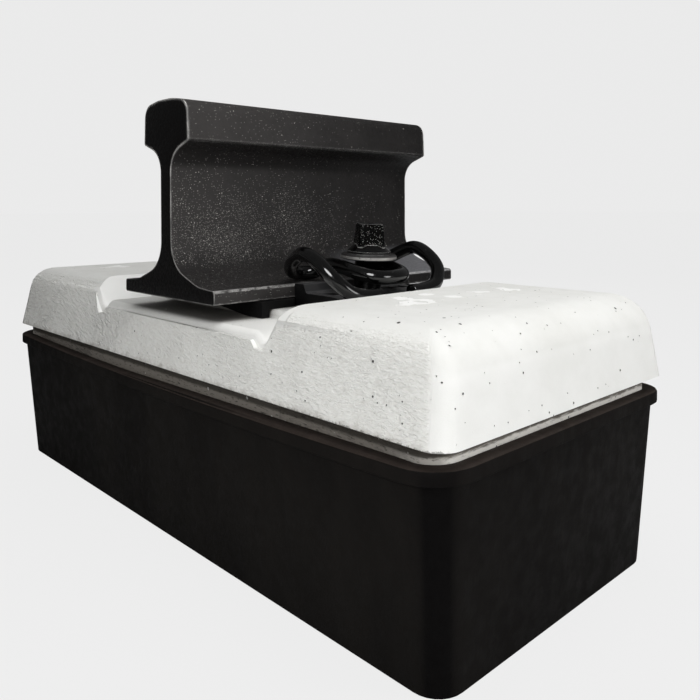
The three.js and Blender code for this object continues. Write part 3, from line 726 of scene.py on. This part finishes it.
def makeScrewPaint():
    c = screw
    material, tree, shader, position, cloud = startMaterial("forgedScrewPaint", c)
    # the pressed collar below the head is smooth and glossy
    glossy = above(tree, splitVector(tree, position)[2], c["collarTop"], c["collarBand"])
    tree.links.new(glossy, shader["Coat Weight"])
    shader["Coat Roughness"].default_value = c["glossRoughness"]
    dots = remap(tree, place(tree, specks, position, c["flecks"])["Speck"], 0.05, 0.6)
    dots = times(tree, dots, c["fleckShare"], outside(tree, glossy))
    worn = place(tree, wornEdges, position, c["wear"])["Worn"]
    sparks = calc(tree, "MAXIMUM", dots, times(tree, worn, c["wearShare"]))
    colour = mixColour(tree, cloud["Cloud"], c["paint"], c["scale"])
    tree.links.new(mixColour(tree, sparks, colour, c["spark"]), shader["Base Color"])
    tree.links.new(times(tree, sparks, c["sparkMetal"]), shader["Metallic"])
    pitted = noise(tree, position, c["pitsPerMetre"], detail=5.0, roughness=0.7)
    pits = times(tree, pitted, outside(tree, times(tree, glossy, 0.85)))
    tree.links.new(bump(tree, pits, c["pitDepth"]), shader["Normal"])
    rough = times(tree, variedRoughness(tree, pitted, c), line(tree, glossy, -0.7, 1.0))
    tree.links.new(rough, shader["Roughness"])
    return material


# the washers, dull zinc under a dark film

washer = {
    "film": chartColour(17, 16, 16),
    "zinc": chartColour(172, 170, 167),
    "roughness": 0.36,
    "spread": (0.1, 0.16),
    "specular": 0.5,
    "clouds": {"Broad": 70.0, "Fine": 380.0},
    "bareRim": 0.9,
    "metal": 0.8,
    "turningPerMetre": 300.0,
    "turningDepth": 0.0002,
}


def makeWasherSteel():
    c = washer
    material, tree, shader, position, cloud = startMaterial("dullWasherSteel", c)
    rim = remap(tree, absolute(tree, faceDirection(tree)[2]), 0.75, 0.3)
    share = calc(tree, "MAXIMUM", times(tree, cloud["Cloud"], 0.06), times(tree, rim, c["bareRim"]))
    tree.links.new(mixColour(tree, share, c["film"], c["zinc"]), shader["Base Color"])
    tree.links.new(times(tree, share, c["metal"]), shader["Metallic"])
    turning = noise(tree, stretch(tree, position, (1.0, 1.0, 6.0)), c["turningPerMetre"], roughness=0.6)
    tree.links.new(bump(tree, turning, c["turningDepth"]), shader["Normal"])
    tree.links.new(variedRoughness(tree, cloud["Grain"], c), shader["Roughness"])
    return material


# plastic of the screw dowels in the block

dowel = {
    "plastic": chartColour(60, 60, 62),
    "pale": chartColour(88, 87, 86),
    "roughness": 0.5,
    "specular": 0.5,
    "clouds": {"Broad": 40.0, "Fine": 260.0},
    "grainDepth": 0.0001,
}


def makeDowelPlastic():
    c = dowel
    material, tree, shader, _, cloud = startMaterial("greyDowelPlastic", c)
    tree.links.new(mixColour(tree, cloud["Cloud"], c["plastic"], c["pale"]), shader["Base Color"])
    tree.links.new(bump(tree, cloud["Grain"], c["grainDepth"]), shader["Normal"])
    return material


finishes = {
    "boot_rubber": makeBootRubber(),
    "pad_rubber": makePadRubber(),
    "concrete": makeConcrete(),
    "rail_steel": makeRailCoat(),
    "plate_plastic": makePlatePlastic(),
    "clamp_steel": makeClampCoat(),
    "washer_steel": makeWasherSteel(),
    "screw_steel": makeScrewPaint(),
    "dowel_plastic": makeDowelPlastic(),
}
print("finishes made:", len(finishes))


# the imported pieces: edges are rounded and shading smoothed by modifiers, so the meshes stay as they are

easing = {
    "smoothAngle": 36,  # degrees up to which two faces shade as one
    "weldDistance": 0.00002,
    "segments": 3,
    "edges": {  # radius, and the angle in degrees from which an edge is rounded
        "block_pad": (0.0015, 60),
        "rail_pad": (0.0005, 50),
        "rail": (0.0008, 50),
        "guide_plate": (0.0006, 50),
        "sleeper_screw": (0.0008, 35),
    },
}

slotOf = {
    "rubber_boot": "boot_rubber", "block_pad": "pad_rubber", "concrete_block": "concrete",
    "rail_pad": "pad_rubber", "rail": "rail_steel", "guide_plate": "plate_plastic",
    "tension_clamp": "clamp_steel", "washer": "washer_steel", "sleeper_screw": "screw_steel",
    "screw_dowel": "dowel_plastic",
}


def makeSmoothing():
    # every face is smooth, and an edge is sharp where its faces bend by more than the angle
    group = bpy.data.node_groups.new("smoothToAngle", "GeometryNodeTree")
    group.interface.new_socket("Geometry", in_out="INPUT", socket_type="NodeSocketGeometry")
    limit = group.interface.new_socket("Angle", in_out="INPUT", socket_type="NodeSocketFloat")
    limit.default_value = math.radians(easing["smoothAngle"])
    group.interface.new_socket("Geometry", in_out="OUTPUT", socket_type="NodeSocketGeometry")
    given = group.nodes.new("NodeGroupInput").outputs
    out = group.nodes.new("NodeGroupOutput").inputs
    faces = addNode(group, "GeometryNodeSetShadeSmooth", {"Geometry": given["Geometry"]}, domain="FACE")
    bend = addNode(group, "GeometryNodeInputMeshEdgeAngle").outputs["Unsigned Angle"]
    sharp = addNode(group, "FunctionNodeCompare", {0: bend, 1: given["Angle"]}, operation="GREATER_THAN")
    edges = addNode(group, "GeometryNodeSetShadeSmooth",
                    {"Geometry": faces.outputs[0], "Selection": sharp.outputs[0], "Shade Smooth": False},
                    domain="EDGE")
    group.links.new(edges.outputs[0], out["Geometry"])
    return group


smoothToAngle = makeSmoothing()


def easeEdges(piece, kind):
    # the loose triangles are joined, the edges rounded and the shading smoothed
    weld = piece.modifiers.new("joinTriangles", "WELD")
    weld.merge_threshold = easing["weldDistance"]
    if kind in easing["edges"]:
        edges = piece.modifiers.new("roundEdges", "BEVEL")
        edges.width, angle = easing["edges"][kind]
        edges.segments = easing["segments"]
        edges.limit_method = "ANGLE"
        edges.angle_limit = math.radians(angle)
        edges.use_clamp_overlap = True
    shading = piece.modifiers.new("smoothShading", "NODES")
    shading.node_group = smoothToAngle


for name, node in nodes.items():
    kind = name.replace("_right", "").replace("_left", "")
    node.data.materials.clear()
    node.data.materials.append(finishes[slotOf[kind]])
    if kind != "tension_clamp":  # bent bars replace the clamps
        easeEdges(node, kind)
print("packed pieces finished")


# the bent bars of the tension clamps, swept finely along the part's own route

clampBar = {
    "diameter": 0.0126,
    "sides": 28,
    "stepsPerSpan": 14,
    "endRound": 0.0014,
    "endRings": 5,
    "leftShift": 0.005,
    "route": [  # millimetres from the seat's middle, from the middle loop's closed end to the free heel
        (138.5, 0.0, 25.2), (134.5, 17.01, 26.04), (120.0, 23.57, 29.23), (100.5, 24.3, 33.0),
        (82.0, 24.8, 33.6), (68.0, 29.3, 27.07), (61.5, 39.8, 26.47), (67.0, 53.0, 29.47),
        (81.0, 63.5, 38.5), (102.0, 69.0, 46.5), (118.5, 68.6, 41.2), (134.01, 65.5, 28.6),
        (141.81, 52.5, 15.9), (143.01, 36.0, 12.2), (143.01, 19.0, 11.8),
    ],
}


def smoothRoute(points, stepsPerSpan):
    # centripetal spline: each span is a cubic whose end slopes weigh its neighbours
    # by the square root of their lengths; all spans at once
    p = np.vstack([2 * points[0] - points[1], points, 2 * points[-1] - points[-2]])
    gap = np.sqrt(np.linalg.norm(np.diff(p, axis=0), axis=1))[:, None]
    before, here, after = gap[:-2], gap[1:-1], gap[2:]
    p0, p1, p2, p3 = p[:-3], p[1:-2], p[2:-1], p[3:]
    start = ((p1 - p0) / before - (p2 - p0) / (before + here) + (p2 - p1) / here) * here
    end = ((p2 - p1) / here - (p3 - p1) / (here + after) + (p3 - p2) / after) * here
    t = (np.arange(stepsPerSpan) / stepsPerSpan)[None, :, None]
    a, b, u, v = (q[:, None, :] for q in (p1, p2, start, end))
    spans = a + u * t + (3 * b - 3 * a - 2 * u - v) * t ** 2 + (2 * a - 2 * b + u + v) * t ** 3
    return np.vstack([spans.reshape(-1, 3), points[-1:]])


def sweptBar(route, radius, sides, endRound, endRings):
    # a circle carried along the route; at both ends it shrinks on a quarter circle, then closes
    tangent = np.gradient(route, axis=0)
    tangent /= np.linalg.norm(tangent, axis=1)[:, None]
    turn = np.linspace(0, math.pi / 2, endRings)[:, None]
    ahead, shrink = endRound * (1 - np.cos(turn)), endRound * (1 - np.sin(turn))
    clear = np.minimum(np.linalg.norm(route - route[0], axis=1), np.linalg.norm(route - route[-1], axis=1))
    inner = clear > endRound * 1.3  # the rings that stand clear of the rounded ends
    path = np.vstack([route[0] + tangent[0] * ahead, route[inner], (route[-1] - tangent[-1] * ahead)[::-1]])
    along = np.vstack([np.tile(tangent[0], (endRings, 1)), tangent[inner], np.tile(tangent[-1], (endRings, 1))])
    size = np.vstack([radius - shrink, np.full((inner.sum(), 1), radius), (radius - shrink)[::-1]])
    side = np.cross(along, (0, 0, 1.0))
    side /= np.linalg.norm(side, axis=1)[:, None]
    up = np.cross(along, side)
    angle = np.linspace(0, 2 * math.pi, sides, endpoint=False)[None, :, None]
    ring = np.cos(angle) * side[:, None] + np.sin(angle) * up[:, None]
    return path[:, None] + size[:, None] * ring


def gridMesh(name, grid):
    # quads between neighbouring rings of a grid (rings, points, 3); the end rings become faces
    rings, count, _ = grid.shape
    index = np.arange(rings * count).reshape(rings, count)
    nextPoint = np.roll(index, -1, axis=1)
    quads = np.stack([index[:-1], nextPoint[:-1], nextPoint[1:], index[1:]], axis=-1).reshape(-1, 4)
    faces = quads.tolist() + [index[0][::-1].tolist(), index[-1].tolist()]
    mesh = bpy.data.meshes.new(name)
    mesh.from_pydata(grid.reshape(-1, 3).tolist(), [], faces)
    mesh.update()
    return mesh


def makeClamp(name, side):
    # the route is mirrored for its other half, and turned half round for the left clamp
    c = clampBar
    points = np.array(c["route"]) / 1000
    route = smoothRoute(np.vstack([(points * (1, -1, 1))[:0:-1], points]), c["stepsPerSpan"])
    if side < 0:
        route = route * (-1, -1, 1) + (0, c["leftShift"], 0)
    route = route + (seat["x"], 0, seat["z"])
    mesh = gridMesh(name, sweptBar(route, c["diameter"] / 2, c["sides"], c["endRound"], c["endRings"]))
    mesh.shade_smooth()
    mesh.materials.append(finishes["clamp_steel"])
    piece = bpy.data.objects.new(name, mesh)
    bpy.context.scene.collection.objects.link(piece)
    return piece


for sideName, sideSign in (("right", 1), ("left", -1)):
    bar = makeClamp("bent_bar_" + sideName, sideSign)
    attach(bar, "root")
    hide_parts("tension_clamp_" + sideName)
print("tension clamps swept")


# floor, light and camera

studio = {
    "backdrop": chartColour(234.5, 234.5, 234.5),
    "floorPaint": chartColour(202, 202, 202),
    "floorSeen": chartColour(242, 242, 242),
    "floorGlow": 0.92,  # how much of that colour the camera sees, over the paint and its shadows
    "floorSize": 60.0,
    "skyLevel": 0.06,
    "mirroredSky": 0.08,  # how much of the backdrop shows in reflections and through glass
    "aim": (0.05, 0.0, 0.18),
    "lamps": {  # place, size in metres, power in watts, lights surfaces, seen in reflections
        "topLamp": ((0.29, -0.01, 0.95), 0.9, 5.9, True, False),
        "frontLamp": ((0.77, -0.93, 0.38), 0.8, 7.15, True, False),
        "rightLamp": ((1.42, 0.54, 0.33), 0.6, 6.4, True, False),
        "sideGlintLamp": ((1.61, 0.55, 0.52), 0.6, 4.4, False, True),
        "backLamp": ((-1.3, 1.3, 1.1), 1.4, 9.0, True, False),
        "glintLamp": ((0.74, -1.0, 1.0), 0.75, 16.0, False, True),
    },
}


def makeFloor():
    half = studio["floorSize"] / 2
    mesh = bpy.data.meshes.new("floor")
    mesh.from_pydata([(-half, -half, 0), (half, -half, 0), (half, half, 0), (-half, half, 0)], [], [(0, 1, 2, 3)])
    floor = bpy.data.objects.new("floor", mesh)
    bpy.context.scene.collection.objects.link(floor)
    material = bpy.data.materials.new("paleFloor")
    material.use_nodes = True
    tree = material.node_tree
    tree.nodes.clear()
    painted = addNode(tree, "ShaderNodeBsdfDiffuse", {"Color": studio["floorPaint"]})
    glow = addNode(tree, "ShaderNodeEmission", {"Color": studio["floorSeen"], "Strength": 1.0})
    ray = addNode(tree, "ShaderNodeLightPath").outputs
    seen = times(tree, ray["Is Camera Ray"], studio["floorGlow"])
    both = addNode(tree, "ShaderNodeMixShader", {0: seen, 1: painted.outputs[0], 2: glow.outputs[0]})
    out = addNode(tree, "ShaderNodeOutputMaterial")
    tree.links.new(both.outputs[0], out.inputs["Surface"])
    mesh.materials.append(material)


def makeSky():
    world = bpy.data.worlds.new("studio")
    bpy.context.scene.world = world
    world.use_nodes = True
    tree = world.node_tree
    tree.nodes.clear()
    light = addNode(tree, "ShaderNodeBackground", {"Color": (1, 1, 1, 1), "Strength": studio["skyLevel"]})
    seen = addNode(tree, "ShaderNodeBackground", {"Color": studio["backdrop"], "Strength": 1.0})
    ray = addNode(tree, "ShaderNodeLightPath").outputs
    mirrored = calc(tree, "MAXIMUM", ray["Is Glossy Ray"], ray["Is Transmission Ray"])
    shown = calc(tree, "MAXIMUM", ray["Is Camera Ray"], times(tree, mirrored, studio["mirroredSky"]))
    both = addNode(tree, "ShaderNodeMixShader", {0: shown, 1: light.outputs[0], 2: seen.outputs[0]})
    out = addNode(tree, "ShaderNodeOutputWorld")
    tree.links.new(both.outputs[0], out.inputs["Surface"])


def addLamp(name, position, size, power, lights, reflected):
    light = bpy.data.lights.new(name, "AREA")
    light.shape = "DISK"
    light.size = size
    light.energy = power
    lamp = bpy.data.objects.new(name, light)
    bpy.context.scene.collection.objects.link(lamp)
    lamp.visible_diffuse = lights
    lamp.visible_glossy = reflected
    lamp.location = position
    lamp.rotation_euler = (Vector(studio["aim"]) - Vector(position)).to_track_quat("-Z", "Y").to_euler()


cameraSetup = {
    "position": (0.58097, -0.4550, 0.2916),
    "heading": -46.46,  # degrees from +Y towards +X
    "tilt": -0.99,
    "roll": -0.13,
    "focalInPixels": 724.0,
    "imageSize": 700,
    "middleRow": 218.24,
    "middleColumn": 350.5,
    "sensor": 36.0,
    "nearClip": 0.01,
}


def makeCamera():
    c = cameraSetup
    heading, tilt, roll = (math.radians(c[key]) for key in ("heading", "tilt", "roll"))
    forward = Vector((math.sin(heading) * math.cos(tilt), math.cos(heading) * math.cos(tilt), math.sin(tilt)))
    level = Vector((math.cos(heading), -math.sin(heading), 0))
    upright = level.cross(forward)
    right = math.cos(roll) * level + math.sin(roll) * upright
    up = -math.sin(roll) * level + math.cos(roll) * upright
    data = bpy.data.cameras.new("camera")
    data.sensor_width = c["sensor"]
    data.lens = c["focalInPixels"] / c["imageSize"] * c["sensor"]
    data.shift_x = (c["imageSize"] / 2 - c["middleColumn"]) / c["imageSize"]
    data.shift_y = -(c["imageSize"] / 2 - c["middleRow"]) / c["imageSize"]
    data.clip_start = c["nearClip"]
    camera = bpy.data.objects.new("camera", data)
    bpy.context.scene.collection.objects.link(camera)
    turned = Matrix((right, up, -forward)).transposed().to_4x4()
    camera.matrix_world = Matrix.Translation(c["position"]) @ turned
    bpy.context.scene.camera = camera


makeFloor()
makeSky()
for lampName, lampSetup in studio["lamps"].items():
    addLamp(lampName, *lampSetup)
makeCamera()
bpy.context.scene.view_settings.view_transform = "Standard"
print("studio and camera set")
